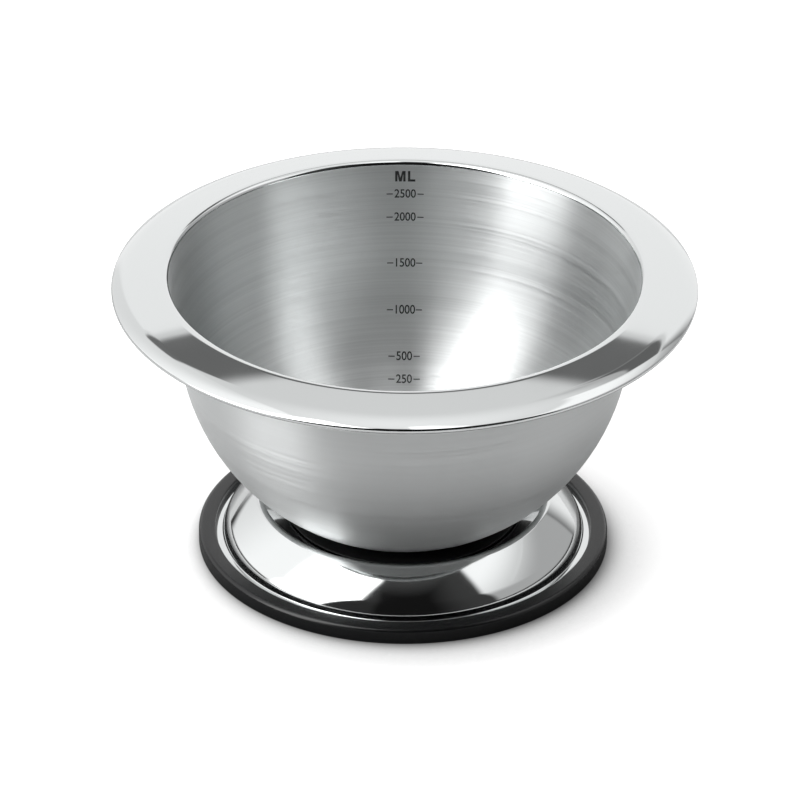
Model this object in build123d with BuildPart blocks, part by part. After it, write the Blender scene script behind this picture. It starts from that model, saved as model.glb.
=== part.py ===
"""A graduated mixing bowl that sits loose in a low ring stand with an anti-slip ring.

The frame has its origin on the table under the bowl's axis, with +Z up and the front at -Y.
Every piece is a body of revolution, so each one is a section in the XZ plane, turned about Z.
Lengths are in millimetres and angles in degrees.
"""

import os
from math import asin, cos, degrees, radians, sin, sqrt, tan

from build123d import *

# Bowl: one sheet, drawn to a round belly with a flat base, a leaning wall and a broad rim
bowl_sheet = 1.0
mouth_radius = 107.8
wall_depth = 41.0
wall_draft = 8.5
base_radius = 32.0
base_round = 12.0
brim_round = 2.2
lip_round = 14.0
rim_width = 13.2
rim_tilt = 9.5
rim_shoulder_round = 18.4
rim_shoulder_tilt = 36.5
bead_radius = 1.5
bead_turn = 235.0

# Stand shell: one spun sheet, from the ledge in its mouth over the crest to the outer flange
shell_sheet = 0.8
crest_radius = 66.9
crest_height = 25.0
crest_round = 3.0
brow_angle = 40.0
shoulder_angle = 49.0
shoulder_round = 13.5
foot_angle = 86.0
foot_round = 0.8
flange_show = 2.9
flange_grip = 5.0
dish_angle = 35.0
dish_depth = 10.4
ledge_round = 2.0
ledge_width = 9.7

# Anti-slip ring: a rubber channel stretched over the flange, which the stand rests on
ring_height = 7.4
ring_width = 7.7
ring_lip = 2.3
ring_heel = 2.5
ring_shoulder_round = 2.0
ring_edge_round = 0.6
tread_count = 2
tread_width = 1.4
tread_depth = 0.7

# Seat ring: a silicone channel on the ledge, which the bowl's belly sits in
seat_thickness = 3.2
seat_web = 3.7
seat_land = 5.5
seat_jaw = 1.8
seat_jaw_reach = 5.0
seat_edge_round = 0.5
fit_gap = 0.3

# Stand heights, from the table up
flange_top = ring_height - ring_lip
shoulder_drop = shoulder_round * (cos(radians(shoulder_angle)) - cos(radians(foot_angle)))
shoulder_top = flange_top + shoulder_drop
ledge_top = crest_height - dish_depth
seat_top = ledge_top + seat_thickness

# Stand radii, inwards from the crest to the bore of the seat ring
dish_end_radius = crest_radius - crest_round * sin(radians(dish_angle))
dish_end_height = crest_height - crest_round * (1 - cos(radians(dish_angle)))
ledge_corner_radius = dish_end_radius - (dish_end_height - ledge_top) / tan(radians(dish_angle))
lip_radius = ledge_corner_radius - ledge_width
seat_groove_radius = lip_radius - fit_gap
seat_bore_radius = seat_groove_radius - seat_web
seat_radius = seat_bore_radius + seat_land

# Dome: an arc that leaves the crest at the brow angle and ends where the rounder shoulder begins
brow_height = crest_height - crest_round * (1 - cos(radians(brow_angle)))
dome_drop = brow_height - shoulder_top
dome_round = dome_drop / (cos(radians(brow_angle)) - cos(radians(shoulder_angle)))

# Stand radii, outwards from the crest to the outside of the anti-slip ring
dome_centre_radius = crest_radius - (dome_round - crest_round) * sin(radians(brow_angle))
dome_end_radius = dome_centre_radius + dome_round * sin(radians(shoulder_angle))
shoulder_reach = shoulder_round * (sin(radians(foot_angle)) - sin(radians(shoulder_angle)))
foot_radius = dome_end_radius + shoulder_reach
foot_end_radius = foot_radius + foot_round * tan(radians(foot_angle / 2))
ring_lip_radius = foot_end_radius + flange_show
flange_radius = ring_lip_radius + flange_grip
ring_radius = ring_lip_radius + ring_width
ring_heel_radius = ring_lip_radius - ring_heel

# Bowl: the belly is a sphere about the axis, tangent to the wall, lowered into the seat ring
belly_radius = (mouth_radius - wall_depth * tan(radians(wall_draft))) / cos(radians(wall_draft))
belly_outside = belly_radius + bowl_sheet
seat_sphere = belly_outside + fit_gap
belly_height = seat_top + sqrt(seat_sphere**2 - seat_radius**2)
wall_top = belly_height - belly_radius * sin(radians(wall_draft)) + wall_depth
base_top = belly_height - sqrt(belly_radius**2 - base_radius**2)
base_angle = degrees(asin(base_radius / belly_radius))

os.makedirs("parts", exist_ok=True)

# Anti-slip ring: a U section open inwards, with its two jaws on either side of the flange
flange_underside = flange_top - shell_sheet
tread_pitch = (ring_radius - ring_heel_radius) / (tread_count + 1)

with BuildPart() as anti_slip_ring:
    with BuildSketch(Plane.XZ) as ring_section:
        with BuildLine():
            Polyline(
                (ring_heel_radius, 0),
                (ring_radius, 0),
                (ring_radius, ring_height),
                (ring_lip_radius, ring_height),
                (ring_lip_radius, flange_top),
                (flange_radius, flange_top),
                (flange_radius, flange_underside),
                (ring_heel_radius, flange_underside),
                close=True,
            )
        make_face()
        top_corners = ring_section.vertices().group_by(Axis.Y)[-1].sort_by(Axis.X)
        fillet(top_corners[-1], ring_shoulder_round)
        top_inner_corner = ring_section.vertices().group_by(Axis.Y)[-1].sort_by(Axis.X)[0]
        fillet(top_inner_corner, ring_edge_round)
        floor_corners = ring_section.vertices().group_by(Axis.Y)[0]
        fillet(floor_corners, ring_edge_round)
        for tread in range(tread_count):
            with Locations((ring_heel_radius + (tread + 1) * tread_pitch, 0)):
                Rectangle(tread_width, 2 * tread_depth, mode=Mode.SUBTRACT)
    revolve(axis=Axis.Z)
anti_slip_ring.part.label = "anti_slip_ring"
export_step(anti_slip_ring.part, "parts/anti_slip_ring.step")

# Stand shell: the polished face is drawn from the ledge's free edge out to the flange's edge,
# and the sheet lies under it
with BuildPart() as stand_shell:
    with BuildSketch(Plane.XZ):
        with BuildLine() as shell_line:
            ledge = Line((lip_radius, ledge_top), (ledge_corner_radius, ledge_top))
            slope = Line(ledge @ 1, (dish_end_radius, dish_end_height))
            crest = JernArc(slope @ 1, slope % 1, crest_round, -dish_angle - brow_angle)
            dome = JernArc(crest @ 1, crest % 1, dome_round, brow_angle - shoulder_angle)
            shoulder = JernArc(dome @ 1, dome % 1, shoulder_round, shoulder_angle - foot_angle)
            Line(shoulder @ 1, (flange_radius, flange_top))
            fillet(shell_line.vertices().sort_by_distance(ledge @ 1)[0], ledge_round)
            fillet(shell_line.vertices().sort_by_distance(shoulder @ 1)[0], foot_round)
            offset(amount=shell_sheet, side=Side.RIGHT)
        make_face()
    revolve(axis=Axis.Z)
stand_shell.part.label = "stand_shell"
export_step(stand_shell.part, "parts/stand_shell.step")

# Seat ring: its outside follows the dish, its top is hollowed to the belly, and a jaw reaches
# under the ledge
slope_gap = fit_gap / sin(radians(dish_angle))
seat_rim_radius = ledge_corner_radius + seat_thickness / tan(radians(dish_angle)) - slope_gap
jaw_top = ledge_top - shell_sheet - fit_gap
land_start = degrees(asin(seat_bore_radius / seat_sphere)) - 90
land_end = degrees(asin(seat_radius / seat_sphere)) - 90

with BuildPart() as seat_ring:
    with BuildSketch(Plane.XZ) as seat_section:
        with BuildLine():
            land = CenterArc((0, belly_height), seat_sphere, land_start, land_end - land_start)
            Polyline(
                land @ 1,
                (seat_rim_radius, seat_top),
                (ledge_corner_radius - slope_gap, ledge_top),
                (seat_groove_radius, ledge_top),
                (seat_groove_radius, jaw_top),
                (seat_groove_radius + seat_jaw_reach, jaw_top),
                (seat_groove_radius + seat_jaw_reach, jaw_top - seat_jaw),
                (seat_bore_radius, jaw_top - seat_jaw),
                land @ 0,
            )
        make_face()
        keel = seat_section.vertices().sort_by_distance((ledge_corner_radius - slope_gap, ledge_top))
        fillet(keel[0], ledge_round + fit_gap)
        seat_rim = seat_section.vertices().sort_by_distance((seat_rim_radius, seat_top))
        fillet(seat_rim[0], seat_edge_round)
    revolve(axis=Axis.Z)
seat_ring.part.label = "seat_ring"
export_step(seat_ring.part, "parts/seat_ring.step")

# Bowl: the inside and the top of the rim are drawn from the axis out to the curled edge, and
# the sheet lies outside that line
with BuildPart() as bowl:
    with BuildSketch(Plane.XZ):
        with BuildLine() as bowl_line:
            base = Line((0, base_top), (base_radius, base_top))
            belly = CenterArc((0, belly_height), belly_radius, base_angle - 90, 90 - base_angle - wall_draft)
            wall = Line(belly @ 1, (mouth_radius, wall_top))
            brim = JernArc(wall @ 1, wall % 1, brim_round, wall_draft - 90)
            lip = JernArc(brim @ 1, brim % 1, lip_round, -rim_tilt)
            rim = Line(lip @ 1, lip @ 1 + rim_width * (lip % 1))
            rim_shoulder = JernArc(rim @ 1, rim % 1, rim_shoulder_round, rim_tilt - rim_shoulder_tilt)
            JernArc(rim_shoulder @ 1, rim_shoulder % 1, bead_radius, -bead_turn)
            fillet(bowl_line.vertices().sort_by_distance(base @ 1)[0], base_round)
            offset(amount=bowl_sheet, side=Side.RIGHT)
        make_face()
    revolve(axis=Axis.Z)
bowl.part.label = "bowl"
export_step(bowl.part, "parts/bowl.step")
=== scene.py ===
"""A graduated steel mixing bowl in its ring stand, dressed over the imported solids.

Lengths are in metres, in the frame of the solids: the table is z = 0, +Z runs up the bowl's axis and
the front is at -Y. Every piece is a body of revolution, so its section is drawn in XZ and then spun.
"""

import math

import bpy
from mathutils import Matrix, Vector


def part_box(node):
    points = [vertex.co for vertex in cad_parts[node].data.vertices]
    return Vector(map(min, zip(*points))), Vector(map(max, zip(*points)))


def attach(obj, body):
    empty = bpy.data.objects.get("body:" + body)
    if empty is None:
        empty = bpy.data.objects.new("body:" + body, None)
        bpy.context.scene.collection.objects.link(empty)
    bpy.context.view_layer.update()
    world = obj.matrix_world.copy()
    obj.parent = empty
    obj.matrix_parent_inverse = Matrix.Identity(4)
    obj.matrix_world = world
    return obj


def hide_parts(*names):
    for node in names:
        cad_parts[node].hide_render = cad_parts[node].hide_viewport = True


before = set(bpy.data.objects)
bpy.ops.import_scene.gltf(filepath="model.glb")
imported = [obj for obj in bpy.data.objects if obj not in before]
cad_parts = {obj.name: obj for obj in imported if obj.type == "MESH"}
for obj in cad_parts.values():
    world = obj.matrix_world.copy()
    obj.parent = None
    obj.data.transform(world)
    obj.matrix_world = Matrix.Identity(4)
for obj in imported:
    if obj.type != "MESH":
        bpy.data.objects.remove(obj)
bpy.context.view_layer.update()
scene = bpy.context.scene
scene.view_settings.view_transform = "Standard"
bpy.ops.object.select_all(action="DESELECT")

# Anti-slip ring: a channel of black rubber, moulded in one piece and stretched over the flange of the
# stand. Its upper jaw lies on the flange, and two grooves in its underside grip the table.
MM = 0.001
ring_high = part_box("anti_slip_ring")[1]
shell_low, shell_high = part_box("stand_shell")
ring_radius = ring_high.x
ring_top = ring_high.z
shell_sheet = 0.8 * MM
flange_radius = shell_high.x
flange_grip = 5.0 * MM
flange_underside = shell_low.z
flange_top = flange_underside + shell_sheet
ring_lip_radius = flange_radius - flange_grip
ring_heel = 2.5 * MM
ring_heel_radius = ring_lip_radius - ring_heel
ring_shoulder_round = 2.0 * MM
ring_edge_round = 0.6 * MM
tread_count = 2
tread_width = 1.4 * MM
tread_depth = 0.7 * MM
tread_pitch = (ring_radius - ring_heel_radius) / (tread_count + 1)
rubber_colour = "#0A0B0C"
rubber_roughness = 0.27
rubber_ior = 1.44
soft_arc_step = 7.5
spin_steps = 256
smooth_angle = math.radians(30)
merge_gap = 0.001 * MM

# The real grain is too fine to show, so it is drawn as coarse as it needs to be.
rubber_grain = 0.5 * MM
rubber_grain_depth = 0.02 * MM


def rounded(corners, arc_step):
    """The points of an outline of (radius, height, rounding) corners, with an arc at each rounded one."""
    points = []
    for index, (x, z, rounding) in enumerate(corners):
        corner = Vector((x, z))
        if rounding == 0:
            points.append(corner)
            continue
        back = (Vector(corners[index - 1][:2]) - corner).normalized()
        ahead = (Vector(corners[(index + 1) % len(corners)][:2]) - corner).normalized()
        half_angle = back.angle(ahead) / 2
        centre = corner + (back + ahead).normalized() * rounding / math.sin(half_angle)
        reach = rounding / math.tan(half_angle)
        start = corner + back * reach - centre
        end = corner + ahead * reach - centre
        start_angle = math.atan2(start.y, start.x)
        sweep = (math.atan2(end.y, end.x) - start_angle + math.pi) % math.tau - math.pi
        steps = math.ceil(abs(sweep) / math.radians(arc_step))
        for step in range(steps + 1):
            angle = start_angle + sweep * step / steps
            points.append(centre + rounding * Vector((math.cos(angle), math.sin(angle))))
    return points


def spun(name, outline):
    """A mesh made by extruding one point along an outline of (radius, height) points and spinning it."""
    bpy.ops.object.select_all(action="DESELECT")
    bpy.ops.mesh.primitive_plane_add(size=MM)
    piece = bpy.context.object
    piece.name = name
    bpy.ops.object.mode_set(mode="EDIT")
    bpy.ops.mesh.merge(type="CENTER")
    bpy.ops.transform.translate(value=(outline[0][0], 0, outline[0][1]))
    for (x, z), (next_x, next_z) in zip(outline, outline[1:]):
        bpy.ops.mesh.extrude_vertices_move(TRANSFORM_OT_translate={"value": (next_x - x, 0, next_z - z)})
    bpy.ops.mesh.select_all(action="SELECT")
    bpy.ops.mesh.spin(steps=spin_steps, angle=math.tau, center=(0, 0, 0), axis=(0, 0, 1))
    bpy.ops.mesh.select_all(action="SELECT")
    bpy.ops.mesh.remove_doubles(threshold=merge_gap)
    bpy.ops.mesh.normals_make_consistent(inside=False)
    bpy.ops.object.mode_set(mode="OBJECT")
    top_face = max(piece.data.polygons, key=lambda face: face.center.z)
    if top_face.normal.z < 0:
        piece.data.flip_normals()
    bpy.ops.object.shade_smooth_by_angle(angle=smooth_angle)
    return piece


def linear(hex_colour):
    """The linear colour, with full alpha, of an sRGB hex value."""
    shades = [int(hex_colour[place:place + 2], 16) / 255 for place in (1, 3, 5)]
    return [s / 12.92 if s <= 0.04045 else ((s + 0.055) / 1.055) ** 2.4 for s in shades] + [1.0]


def add_node(tree, kind, sockets, **settings):
    """Adds a node with its settings, and links or sets the sockets that are given."""
    node = tree.nodes.new(kind)
    for name, value in settings.items():
        setattr(node, name, value)
    for name, value in sockets.items():
        if isinstance(value, bpy.types.NodeSocket):
            tree.links.new(value, node.inputs[name])
        else:
            node.inputs[name].default_value = value
    return node


def moulded(name, colour, roughness):
    """Moulded rubber: black and matt, with a fine grain that breaks up its dull sheen."""
    material = bpy.data.materials.new(name)
    material.use_nodes = True
    tree = material.node_tree
    shader = tree.nodes["Principled BSDF"]
    shader.inputs["Base Color"].default_value = linear(colour)
    shader.inputs["Roughness"].default_value = roughness
    shader.inputs["IOR"].default_value = rubber_ior
    place = add_node(tree, "ShaderNodeTexCoord", {})
    noise = add_node(
        tree,
        "ShaderNodeTexNoise",
        {"Vector": place.outputs["Object"], "Scale": 1 / rubber_grain, "Detail": 2.0},
    )
    bump = add_node(
        tree,
        "ShaderNodeBump",
        {"Height": noise.outputs[0], "Strength": 1.0, "Distance": rubber_grain_depth},
    )
    tree.links.new(bump.outputs["Normal"], shader.inputs["Normal"])
    return material


ring_corners = [(ring_heel_radius, 0, ring_edge_round)]
for tread in range(tread_count):
    tread_middle = ring_heel_radius + (tread + 1) * tread_pitch
    tread_near = tread_middle - tread_width / 2
    tread_far = tread_middle + tread_width / 2
    ring_corners += [
        (tread_near, 0, 0),
        (tread_near, tread_depth, 0),
        (tread_far, tread_depth, 0),
        (tread_far, 0, 0),
    ]
ring_corners += [
    (ring_radius, 0, ring_edge_round),
    (ring_radius, ring_top, ring_shoulder_round),
    (ring_lip_radius, ring_top, ring_edge_round),
    (ring_lip_radius, flange_top, 0),
    (flange_radius, flange_top, 0),
    (flange_radius, flange_underside, 0),
    (ring_heel_radius, flange_underside, 0),
]
ring_outline = rounded(ring_corners, soft_arc_step)
rubber_ring = spun("rubber_ring", ring_outline + ring_outline[:1])
rubber_ring.data.materials.append(moulded("moulded_rubber", rubber_colour, rubber_roughness))
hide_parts("anti_slip_ring")
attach(rubber_ring, "stand")

# Stand shell: one disc of stainless sheet, spun over a former into a low ring with a rolled crest and a
# round shoulder, and mirror polished. Its flange is held by the rubber ring, its ledge carries the seat.
crest_height = shell_high.z
crest_radius = 66.9 * MM
crest_round = 3.0 * MM
brow_angle = math.radians(40)
brow_height = crest_height - crest_round * (1 - math.cos(brow_angle))
shoulder_angle = math.radians(49)
shoulder_round = 13.5 * MM
foot_angle = math.radians(86)
foot_round = 0.8 * MM
shoulder_top = flange_top + shoulder_round * (math.cos(shoulder_angle) - math.cos(foot_angle))
dome_drop = brow_height - shoulder_top
dome_round = dome_drop / (math.cos(brow_angle) - math.cos(shoulder_angle))
dish_angle = math.radians(35)
dish_depth = 10.4 * MM
ledge_top = crest_height - dish_depth
ledge_round = 2.0 * MM
ledge_width = 9.7 * MM
dish_corner_radius = crest_radius - crest_round * math.tan(dish_angle / 2)
ledge_corner_radius = dish_corner_radius - (crest_height - ledge_top) / math.tan(dish_angle)
lip_radius = ledge_corner_radius - ledge_width
steel_colour = "#D0D2D2"
steel_arc_step = 3
shell_roughness = 0.06
polish_smear = 18 * MM
polish_spread = 0.3
noise_low = 0.3
noise_high = 0.7


def bend(path, heading, radius, turn):
    """Goes on from the end of a path in an arc, left turns being positive, and gives the new heading."""
    side = math.copysign(1, turn)
    steps = math.ceil(abs(turn) / math.radians(steel_arc_step))
    centre = path[-1] + side * radius * Vector((-math.sin(heading), math.cos(heading)))
    for step in range(1, steps + 1):
        angle = heading + turn * step / steps
        path.append(centre - side * radius * Vector((-math.sin(angle), math.cos(angle))))
    return heading + turn


def thicken(piece, thickness):
    """Gives a sheet its thickness, under the face that was drawn."""
    bpy.context.view_layer.objects.active = piece
    bpy.ops.object.modifier_add(type="SOLIDIFY")
    sheet = piece.modifiers[-1]
    sheet.thickness = thickness
    sheet.offset = -1
    sheet.use_even_offset = True
    bpy.ops.object.modifier_apply(modifier=sheet.name)


def polished_steel(name, roughness):
    """Mirror-polished stainless steel: a clear reflection, a little blurred in patches by handling."""
    material = bpy.data.materials.new(name)
    material.use_nodes = True
    tree = material.node_tree
    shader = tree.nodes["Principled BSDF"]
    shader.inputs["Base Color"].default_value = linear(steel_colour)
    shader.inputs["Metallic"].default_value = 1.0
    place = add_node(tree, "ShaderNodeTexCoord", {})
    smear = add_node(
        tree,
        "ShaderNodeTexNoise",
        {"Vector": place.outputs["Object"], "Scale": 1 / polish_smear, "Detail": 3.0},
    )
    haze = add_node(
        tree,
        "ShaderNodeMapRange",
        {
            "Value": smear.outputs[0],
            "From Min": noise_low,
            "From Max": noise_high,
            "To Min": roughness * (1 - polish_spread),
            "To Max": roughness * (1 + polish_spread),
        },
    )
    tree.links.new(haze.outputs["Result"], shader.inputs["Roughness"])
    return material


crest_start_radius = crest_radius - crest_round * math.sin(dish_angle)
crest_start_height = crest_height - crest_round * (1 - math.cos(dish_angle))
ledge_corners = [
    (lip_radius, ledge_top, 0),
    (ledge_corner_radius, ledge_top, ledge_round),
    (crest_start_radius, crest_start_height, 0),
]
shell_line = rounded(ledge_corners, steel_arc_step)
shell_heading = bend(shell_line, dish_angle, crest_round, -dish_angle - brow_angle)
shell_heading = bend(shell_line, shell_heading, dome_round, brow_angle - shoulder_angle)
foot_rise = foot_round + shoulder_round * math.cos(foot_angle)
foot_turn = math.acos(foot_rise / (foot_round + shoulder_round))
shell_heading = bend(shell_line, shell_heading, shoulder_round, shoulder_angle - foot_turn)
bend(shell_line, shell_heading, foot_round, foot_turn)
shell_line.append(Vector((flange_radius, flange_top)))
polished_shell = spun("polished_shell", shell_line)
thicken(polished_shell, shell_sheet)
polished_shell.data.materials.append(polished_steel("mirror_polished_stainless", shell_roughness))
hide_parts("stand_shell")
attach(polished_shell, "stand")

# Seat ring: a soft channel of black silicone pressed onto the ledge, with a jaw under it. Its hollowed
# land holds the bowl's round belly without scratching it.
seat_low, seat_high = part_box("seat_ring")
fit_gap = 0.3 * MM
seat_web = 3.7 * MM
seat_land = 5.5 * MM
seat_jaw = 1.8 * MM
seat_jaw_reach = 5.0 * MM
seat_edge_round = 0.5 * MM
seat_top = seat_high.z
seat_groove_radius = lip_radius - fit_gap
seat_bore_radius = seat_groove_radius - seat_web
seat_radius = seat_bore_radius + seat_land
seat_slope_gap = fit_gap / math.sin(dish_angle)
seat_keel_radius = ledge_corner_radius - seat_slope_gap
seat_rim_radius = seat_keel_radius + (seat_top - ledge_top) / math.tan(dish_angle)
seat_land_drop = 2.3 * MM
seat_jaw_top = seat_low.z + seat_jaw
silicone_colour = "#0E0F10"
silicone_roughness = 0.6

seat_outline = rounded(
    [
        (seat_bore_radius, seat_top - seat_land_drop, 0),
        (seat_bore_radius, seat_low.z, 0),
        (seat_groove_radius + seat_jaw_reach, seat_low.z, 0),
        (seat_groove_radius + seat_jaw_reach, seat_jaw_top, 0),
        (seat_groove_radius, seat_jaw_top, 0),
        (seat_groove_radius, ledge_top, 0),
        (seat_keel_radius, ledge_top, ledge_round + fit_gap),
        (seat_rim_radius, seat_top, seat_edge_round),
        (seat_radius, seat_top, 0),
    ],
    soft_arc_step,
)
silicone_seat = spun("silicone_seat", seat_outline + seat_outline[:1])
silicone_seat.data.materials.append(moulded("moulded_silicone", silicone_colour, silicone_roughness))
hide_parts("seat_ring")
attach(silicone_seat, "seat")

# Bowl: one disc of stainless sheet, drawn deep to a round belly with a flat base, its edge turned out to
# a broad rim and curled under. The inside and outside are brushed round and round, and the rim is polished.
bowl_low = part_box("bowl")[0]
bowl_sheet = 1.0 * MM
mouth_radius = 107.8 * MM
wall_depth = 41.0 * MM
wall_draft = math.radians(8.5)
base_radius = 32.0 * MM
base_round = 12.0 * MM
brim_round = 2.2 * MM
lip_round = 14.0 * MM
rim_width = 13.2 * MM
rim_tilt = math.radians(9.5)
rim_shoulder_round = 18.4 * MM
rim_shoulder_tilt = math.radians(36.5)
bead_radius = 1.5 * MM
bead_turn = math.radians(235)
base_top = bowl_low.z + bowl_sheet
belly_radius = (mouth_radius - wall_depth * math.tan(wall_draft)) / math.cos(wall_draft)
belly_height = base_top + math.sqrt(belly_radius**2 - base_radius**2)
wall_foot = belly_height - belly_radius * math.sin(wall_draft)
wall_top = wall_foot + wall_depth
inside_roughness = 0.37
inside_stretch = 0.94
inside_contrast = 0.07
outside_roughness = 0.38
outside_stretch = 0.92
outside_contrast = 0.015
rim_roughness = 0.05
level_normal = 0.99
quarter_turn = 0.25

# The real scratches are finer than a pixel, so they are drawn as wide as they need to show.
streak_length = 160 * MM
streak_width = 0.7 * MM
streak_depth = 0.004 * MM
coarse_streak_length = 2 * streak_length
coarse_streak_width = 3 * streak_width
scratch_low = 0.7
scratch_high = 1.3
brush_spread = 0.15


def brushed_steel(name, roughness, stretch, contrast):
    """Stainless steel brushed round its axis: highlights spread up and down, across the scratches."""
    material = bpy.data.materials.new(name)
    material.use_nodes = True
    tree = material.node_tree
    shader = tree.nodes["Principled BSDF"]
    shader.inputs["Metallic"].default_value = 1.0
    shader.inputs["Anisotropic"].default_value = stretch
    shader.inputs["Anisotropic Rotation"].default_value = quarter_turn
    place = add_node(tree, "ShaderNodeTexCoord", {})
    height = add_node(tree, "ShaderNodeSeparateXYZ", {"Vector": place.outputs["Object"]})
    flat = add_node(
        tree, "ShaderNodeVectorMath", {0: place.outputs["Object"], 1: (1, 1, 0)}, operation="MULTIPLY"
    )
    radius = add_node(tree, "ShaderNodeVectorMath", {0: flat.outputs["Vector"]}, operation="LENGTH")
    around = add_node(tree, "ShaderNodeVectorMath", {0: flat.outputs["Vector"]}, operation="NORMALIZE")
    depth = add_node(tree, "ShaderNodeMath", {0: belly_height, 1: height.outputs["Z"]}, operation="SUBTRACT")
    climb = add_node(
        tree, "ShaderNodeMath", {0: radius.outputs["Value"], 1: depth.outputs[0]}, operation="ARCTAN2"
    )
    streaks = []
    for width, length in ((streak_width, streak_length), (coarse_streak_width, coarse_streak_length)):
        along = add_node(
            tree,
            "ShaderNodeVectorMath",
            {0: around.outputs["Vector"], "Scale": belly_radius / length},
            operation="SCALE",
        )
        across = add_node(
            tree, "ShaderNodeMath", {0: climb.outputs[0], 1: belly_radius / width}, operation="MULTIPLY"
        )
        lane = add_node(tree, "ShaderNodeCombineXYZ", {"Z": across.outputs[0]})
        vector = add_node(
            tree,
            "ShaderNodeVectorMath",
            {0: along.outputs["Vector"], 1: lane.outputs["Vector"]},
            operation="ADD",
        )
        noise = add_node(
            tree, "ShaderNodeTexNoise", {"Vector": vector.outputs["Vector"], "Scale": 1.0, "Detail": 3.0}
        )
        streaks.append(noise.outputs[0])
    scratch = add_node(tree, "ShaderNodeMath", {0: streaks[0], 1: streaks[1]}, operation="ADD")
    shade = add_node(
        tree,
        "ShaderNodeMapRange",
        {
            "Value": scratch.outputs[0],
            "From Min": scratch_low,
            "From Max": scratch_high,
            "To Min": 1 - contrast,
            "To Max": 1 + contrast,
        },
    )
    tint = add_node(
        tree,
        "ShaderNodeVectorMath",
        {0: linear(steel_colour)[:3], "Scale": shade.outputs["Result"]},
        operation="SCALE",
    )
    tree.links.new(tint.outputs["Vector"], shader.inputs["Base Color"])
    haze = add_node(
        tree,
        "ShaderNodeMapRange",
        {
            "Value": streaks[0],
            "From Min": noise_low,
            "From Max": noise_high,
            "To Min": roughness * (1 - brush_spread),
            "To Max": roughness * (1 + brush_spread),
        },
    )
    tree.links.new(haze.outputs["Result"], shader.inputs["Roughness"])
    bump = add_node(
        tree, "ShaderNodeBump", {"Height": scratch.outputs[0], "Strength": 1.0, "Distance": streak_depth}
    )
    tree.links.new(bump.outputs["Normal"], shader.inputs["Normal"])
    tangent = add_node(tree, "ShaderNodeTangent", {}, direction_type="RADIAL", axis="Z")
    tree.links.new(tangent.outputs["Tangent"], shader.inputs["Tangent"])
    return material


base_round_height = belly_height - base_top - base_round
base_round_start = math.sqrt((belly_radius - base_round) ** 2 - base_round_height**2)
base_round_turn = math.atan2(base_round_start, base_round_height)
bowl_line = [Vector((0, base_top)), Vector((base_round_start, base_top))]
bowl_heading = bend(bowl_line, 0, base_round, base_round_turn)
bowl_heading = bend(bowl_line, bowl_heading, belly_radius, math.pi / 2 - wall_draft - bowl_heading)
bowl_line.append(Vector((mouth_radius, wall_top)))
bowl_heading = bend(bowl_line, bowl_heading, brim_round, -bowl_heading)
bowl_heading = bend(bowl_line, bowl_heading, lip_round, -rim_tilt)
bowl_line.append(bowl_line[-1] + rim_width * Vector((math.cos(rim_tilt), -math.sin(rim_tilt))))
bowl_heading = bend(bowl_line, bowl_heading, rim_shoulder_round, rim_tilt - rim_shoulder_tilt)
bend(bowl_line, bowl_heading, bead_radius, -bead_turn)

steel_bowl = spun("steel_bowl", bowl_line)
thicken(steel_bowl, bowl_sheet)
inside_steel = brushed_steel("brushed_stainless_inside", inside_roughness, inside_stretch, inside_contrast)
outside_steel = brushed_steel("satin_stainless_outside", outside_roughness, outside_stretch, outside_contrast)
rim_steel = polished_steel("polished_stainless_rim", rim_roughness)
for finish in (inside_steel, outside_steel, rim_steel):
    steel_bowl.data.materials.append(finish)
inside_finish, outside_finish, rim_finish = range(3)
for face in steel_bowl.data.polygons:
    outwards = Vector((face.center.x, face.center.y, 0)).dot(face.normal)
    if face.center.z > wall_top or face.center.xy.length > mouth_radius + 2 * bowl_sheet:
        face.material_index = rim_finish
    elif face.normal.z > level_normal or outwards < 0:
        face.material_index = inside_finish
    else:
        face.material_index = outside_finish
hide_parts("bowl")
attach(steel_bowl, "bowl")

# Volume marks: black ink printed on the inside wall at the back, a unit above a ladder of millilitre
# figures, each between two short dashes at the level it stands for.
mark_heights = {"2500": 124.4, "2000": 113.0, "1500": 90.4, "1000": 69.1, "500": 50.3, "250": 41.9}
unit_height = 133.1 * MM
unit_size = 5.2 * MM
unit_stroke = 1.1 * MM
letter_m_width = 4.9 * MM
letter_l_width = 3.5 * MM
letter_gap = 1.1 * MM
figure_size = 5.9 * MM
figure_squeeze = 0.87
figure_weight = 0.07 * MM
dash_length = 3.0 * MM
dash_width = 0.52 * MM
dash_gap = 0.75 * MM
ink_colour = "#121314"
ink_lift = 0.05 * MM
ink_roughness = 0.55


def lay_on_wall(piece, height):
    """Lays a flat, upright piece at the origin onto the inside wall at a height, at the back of the bowl."""
    if height > wall_foot:
        lean = wall_draft
        reach = mouth_radius - (wall_top - height) * math.tan(wall_draft)
    else:
        lean = math.asin((belly_height - height) / belly_radius)
        reach = belly_radius * math.cos(lean)
    bpy.ops.object.select_all(action="DESELECT")
    piece.select_set(True)
    bpy.context.view_layer.objects.active = piece
    upright = Matrix.Rotation(math.pi / 2 - lean, 4, "X")
    piece.matrix_world = Matrix.Translation((0, reach, height)) @ upright @ piece.matrix_world
    bpy.ops.object.transform_apply(location=True, rotation=True, scale=True)
    bpy.ops.object.modifier_add(type="SHRINKWRAP")
    wrap = piece.modifiers[-1]
    wrap.target = steel_bowl
    wrap.wrap_method = "NEAREST_SURFACEPOINT"
    wrap.wrap_mode = "ABOVE_SURFACE"
    wrap.offset = ink_lift
    bpy.ops.object.modifier_apply(modifier=wrap.name)


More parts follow.
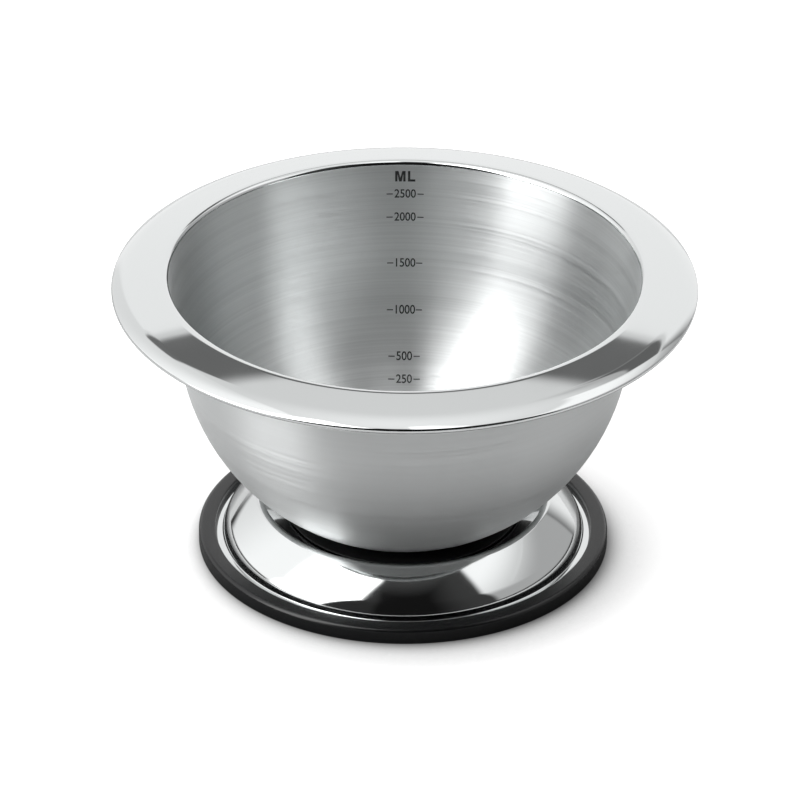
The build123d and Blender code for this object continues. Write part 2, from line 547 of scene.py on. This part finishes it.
def printed_letter(outline):
    """A flat letter, drawn by extruding one point along its outline and filling it."""
    bpy.ops.object.select_all(action="DESELECT")
    bpy.ops.mesh.primitive_plane_add(size=MM)
    letter = bpy.context.object
    bpy.ops.object.mode_set(mode="EDIT")
    bpy.ops.mesh.merge(type="CENTER")
    bpy.ops.transform.translate(value=(*outline[0], 0))
    for (x, y), (next_x, next_y) in zip(outline, outline[1:]):
        bpy.ops.mesh.extrude_vertices_move(TRANSFORM_OT_translate={"value": (next_x - x, next_y - y, 0)})
    bpy.ops.mesh.select_all(action="SELECT")
    bpy.ops.mesh.edge_face_add()
    bpy.ops.mesh.normals_make_consistent(inside=False)
    bpy.ops.object.mode_set(mode="OBJECT")
    if letter.data.polygons[0].normal.z < 0:
        letter.data.flip_normals()
    return letter


def printed_text(body, size, squeeze, weight):
    """Flat lettering, centred on the origin and made a mesh."""
    bpy.ops.object.select_all(action="DESELECT")
    bpy.ops.object.text_add()
    text = bpy.context.object
    text.data.body = body
    text.data.align_x = "CENTER"
    text.data.align_y = "CENTER"
    text.data.size = size
    text.data.offset = weight
    bpy.ops.object.convert(target="MESH")
    printed = bpy.context.object
    printed.scale.x = squeeze
    bpy.ops.object.transform_apply(location=False, rotation=False, scale=True)
    return printed


def printed_dash(middle):
    """A short level dash, centred at a place along X."""
    bpy.ops.object.select_all(action="DESELECT")
    bpy.ops.mesh.primitive_plane_add(size=1, location=(middle, 0, 0))
    dash = bpy.context.object
    dash.scale = (dash_length, dash_width, 1)
    bpy.ops.object.transform_apply(location=True, rotation=False, scale=True)
    bpy.ops.object.mode_set(mode="EDIT")
    bpy.ops.mesh.subdivide(number_cuts=4)
    bpy.ops.object.mode_set(mode="OBJECT")
    return dash


unit_half = (letter_m_width + letter_gap + letter_l_width) / 2
unit_top = unit_size / 2
m_left = -unit_half
m_right = m_left + letter_m_width
m_middle = (m_left + m_right) / 2
m_notch = 0.6 * unit_stroke
m_shoulder = 1.4 * unit_stroke
m_valley = 1.7 * unit_stroke
m_crotch = 1.3 * unit_stroke
m_outline = [
    (m_left, -unit_top),
    (m_left, unit_top),
    (m_left + m_shoulder, unit_top),
    (m_middle, -unit_top + m_valley),
    (m_right - m_shoulder, unit_top),
    (m_right, unit_top),
    (m_right, -unit_top),
    (m_right - unit_stroke, -unit_top),
    (m_right - unit_stroke, unit_top - m_crotch),
    (m_middle + m_notch, -unit_top),
    (m_middle - m_notch, -unit_top),
    (m_left + unit_stroke, unit_top - m_crotch),
    (m_left + unit_stroke, -unit_top),
]
l_left = m_right + letter_gap
l_outline = [
    (l_left, -unit_top),
    (l_left, unit_top),
    (l_left + unit_stroke, unit_top),
    (l_left + unit_stroke, -unit_top + unit_stroke),
    (l_left + letter_l_width, -unit_top + unit_stroke),
    (l_left + letter_l_width, -unit_top),
]
marks = [printed_letter(m_outline), printed_letter(l_outline)]
for letter in marks:
    lay_on_wall(letter, unit_height)
for figure, height in mark_heights.items():
    digits = printed_text(figure, figure_size, figure_squeeze, figure_weight)
    dash_place = digits.dimensions.x / 2 + dash_gap + dash_length / 2
    figure_parts = [digits, printed_dash(-dash_place), printed_dash(dash_place)]
    for part in figure_parts:
        lay_on_wall(part, height * MM)
    marks += figure_parts
bpy.ops.object.select_all(action="DESELECT")
for mark in marks:
    mark.select_set(True)
bpy.context.view_layer.objects.active = marks[0]
bpy.ops.object.join()
volume_marks = bpy.context.object
volume_marks.name = "volume_marks"
ink = bpy.data.materials.new("printing_ink")
ink.use_nodes = True
ink_shader = ink.node_tree.nodes["Principled BSDF"]
ink_shader.inputs["Base Color"].default_value = linear(ink_colour)
ink_shader.inputs["Roughness"].default_value = ink_roughness
volume_marks.data.materials.clear()
volume_marks.data.materials.append(ink)
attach(volume_marks, "bowl")

# Floor and studio: a plain white table in a white room, with a large softbox on the left, one on the right
# that is brighter towards its top, a lamp above each, a white wall behind, a white ceiling and a dark front.
# A shadow is painted on the table close to the stand, deeper on the side away from the main light, and a
# wider shade is painted into the table's colour round the stand, which the steel mirrors.
floor_size = 8.0
floor_colour = "#CFCFCF"
floor_roughness = 0.9
floor_glow = 0.95
floor_mirror_glow = 0.05
painted_shadow_reach = 42 * MM
painted_shadow_depth = 2.2
painted_shade_reach = 150 * MM
painted_shade_depth = 2.0
main_light = {"X": -0.32, "Y": 0.50, "Z": 0.80}
bpy.ops.object.select_all(action="DESELECT")
bpy.ops.mesh.primitive_plane_add(size=floor_size)
floor = bpy.context.object
floor.name = "floor"
bpy.ops.object.mode_set(mode="EDIT")
bpy.ops.mesh.subdivide(number_cuts=8)
bpy.ops.object.mode_set(mode="OBJECT")
table = bpy.data.materials.new("white_table")
table.use_nodes = True
table_tree = table.node_tree
table_shader = table_tree.nodes["Principled BSDF"]
table_shader.inputs["Roughness"].default_value = floor_roughness
table_shader.inputs["Specular IOR Level"].default_value = 0.0
table_shader.inputs["Emission Color"].default_value = linear("#FFFFFF")
table_ray = add_node(table_tree, "ShaderNodeLightPath", {})
light_way = add_node(table_tree, "ShaderNodeCombineXYZ", main_light)
# Painted shadow: the table's glow is dimmed where the stand and bowl are near, more on the side away from
# main_light.
painted_shadow_occlusion = add_node(
    table_tree,
    "ShaderNodeAmbientOcclusion",
    {"Distance": painted_shadow_reach, "Normal": light_way.outputs["Vector"]},
)
painted_shadow = add_node(
    table_tree, "ShaderNodeMath", {0: painted_shadow_occlusion.outputs["AO"], 1: painted_shadow_depth}, operation="POWER"
)
# Painted shade: the table's colour is darkened round the stand, out to a long reach, so that the steel
# mirrors a darker table there.
painted_shade_occlusion = add_node(table_tree, "ShaderNodeAmbientOcclusion", {"Distance": painted_shade_reach})
painted_shade = add_node(
    table_tree, "ShaderNodeMath", {0: painted_shade_occlusion.outputs["AO"], 1: painted_shade_depth}, operation="POWER"
)
shaded = add_node(
    table_tree,
    "ShaderNodeVectorMath",
    {0: linear(floor_colour)[:3], "Scale": painted_shade.outputs[0]},
    operation="SCALE",
)
table_tree.links.new(shaded.outputs["Vector"], table_shader.inputs["Base Color"])
glow = 0.0
for kind, strength in (
    ("Is Camera Ray", floor_glow),
    ("Is Transmission Ray", floor_glow),
    ("Is Glossy Ray", floor_mirror_glow),
):
    share = add_node(
        table_tree, "ShaderNodeMath", {0: table_ray.outputs[kind], 1: strength}, operation="MULTIPLY"
    )
    larger = add_node(table_tree, "ShaderNodeMath", {0: share.outputs[0], 1: glow}, operation="MAXIMUM")
    glow = larger.outputs[0]
shaded_glow = add_node(
    table_tree, "ShaderNodeMath", {0: glow, 1: painted_shadow.outputs[0]}, operation="MULTIPLY"
)
table_tree.links.new(shaded_glow.outputs[0], table_shader.inputs["Emission Strength"])
floor.data.materials.append(table)

studio = bpy.data.worlds.new("studio")
scene.world = studio
studio.use_nodes = True
room = studio.node_tree

# A direction in the room by its angles: round from the back, up from the level, and sideways and backwards
# from straight up. The left softbox ends at a slanted plane, and lean is the angle past that plane.
towards = add_node(room, "ShaderNodeTexCoord", {})
axes = add_node(room, "ShaderNodeSeparateXYZ", {"Vector": towards.outputs["Generated"]}).outputs
azimuth = add_node(room, "ShaderNodeMath", {0: axes["X"], 1: axes["Y"]}, operation="ARCTAN2").outputs[0]
elevation = add_node(room, "ShaderNodeMath", {0: axes["Z"]}, operation="ARCSINE").outputs[0]
sideways = add_node(room, "ShaderNodeMath", {0: axes["X"], 1: axes["Z"]}, operation="ARCTAN2").outputs[0]
backwards = add_node(room, "ShaderNodeMath", {0: axes["Y"], 1: axes["Z"]}, operation="ARCTAN2").outputs[0]
lean_facing = (-0.610, 0.747, 0.265)
facing = add_node(
    room, "ShaderNodeVectorMath", {0: towards.outputs["Generated"], 1: lean_facing}, operation="DOT_PRODUCT"
)
lean = add_node(room, "ShaderNodeMath", {0: facing.outputs["Value"]}, operation="ARCSINE").outputs[0]


def panel(strength, *edges):
    """The light of a panel with soft edges, each an angle with the degrees where it is dark and full."""
    light = strength
    for angle, dark, full in edges:
        step = add_node(
            room,
            "ShaderNodeMapRange",
            {"Value": angle, "From Min": math.radians(dark), "From Max": math.radians(full)},
            interpolation_type="SMOOTHSTEP",
        )
        dimmed = add_node(room, "ShaderNodeMath", {0: light, 1: step.outputs["Result"]}, operation="MULTIPLY")
        light = dimmed.outputs[0]
    return light


def combine(operation, *lights):
    """Combines the light of panels, two by two."""
    total = lights[0]
    for light in lights[1:]:
        total = add_node(room, "ShaderNodeMath", {0: total, 1: light}, operation=operation).outputs[0]
    return total


left_edges = [(lean, -2, 2), (sideways, -17, -22), (elevation, 72, 68), (elevation, 1, 6)]
left_middle = [(azimuth, -30, -75), (azimuth, -150, -100)]
left_box = combine("ADD", panel(1.05, *left_edges), panel(0.4, *left_edges, *left_middle))
left_top = panel(5.0, (lean, -2, 2), (sideways, -6, -12), (azimuth, -85, -105), (elevation, 78, 72))
right_edges = [(azimuth, 43, 47), (azimuth, 124, 118), (elevation, 66, 58), (elevation, 1, 6)]
right_box = combine("ADD", panel(0.56, *right_edges), panel(0.9, *right_edges, (elevation, 26, 52)))
right_top = panel(2.2, (azimuth, 180, 168), (azimuth, 112, 132), (elevation, 68, 72), (elevation, 87, 83))
back_wall = panel(1.2, (azimuth, -40, -20), (azimuth, 50, 34), (elevation, 37.5, 35))
ceiling_edges = [(elevation, 35, 36), (backwards, -16, -11)]
ceiling = combine("ADD", panel(0.95, *ceiling_edges), panel(0.3, *ceiling_edges, (elevation, 45, 88)))
front_wall = panel(0.08, (elevation, 50, 64))
front_left = panel(0.035, (azimuth, -168, -158), (azimuth, 0, -10))
front_right = panel(0.06, (azimuth, 170, 130), (azimuth, 0, 10))
left_gap = panel(0.8, (azimuth, -31, -27), (azimuth, 22, 16), (elevation, 36, 37), (elevation, 45, 43))
right_gap = panel(0.82, (azimuth, 12, 20), (azimuth, 46, 44), (elevation, 36.5, 37.5), (elevation, 48, 46))
right_shade = panel(0.35, (azimuth, 12, 24), (azimuth, 52, 44), (elevation, 44, 46), (elevation, 58, 48))
room_dark = 0.01
boxes = combine("MAXIMUM", room_dark, left_box, left_top, right_box, right_top)
panels = combine("MAXIMUM", boxes, back_wall, ceiling, front_wall, front_left, front_right)
gaps = combine("MAXIMUM", left_gap, right_gap, right_shade)
room_light = combine("MULTIPLY", panels, combine("SUBTRACT", 1.0, gaps))
room_ray = add_node(room, "ShaderNodeLightPath", {}).outputs
seen = combine("MAXIMUM", room_ray["Is Camera Ray"], room_ray["Is Transmission Ray"])
brightness = add_node(room, "ShaderNodeMix", {0: seen, 2: room_light, 3: 1.0}, data_type="FLOAT")
background = room.nodes["Background"]
background.inputs["Color"].default_value = linear("#FFFFFF")
room.links.new(brightness.outputs[0], background.inputs["Strength"])

# Camera: a long lens in front of the bowl, looking down on it, rolled by a hair.
camera_focal = 306
camera_sensor = 36
camera_distance = 3.128
camera_elevation = math.radians(29.75)
camera_roll = math.radians(0.37)
camera_aim = Vector((-1.8, -0.92, 73.76)) * MM
camera_data = bpy.data.cameras.new("camera")
camera_data.lens = camera_focal
camera_data.sensor_width = camera_sensor
camera = bpy.data.objects.new("camera", camera_data)
scene.collection.objects.link(camera)
camera.matrix_world = (
    Matrix.Translation(camera_aim)
    @ Matrix.Rotation(math.pi / 2 - camera_elevation, 4, "X")
    @ Matrix.Rotation(camera_roll, 4, "Z")
    @ Matrix.Translation((0, 0, camera_distance))
)
scene.camera = camera
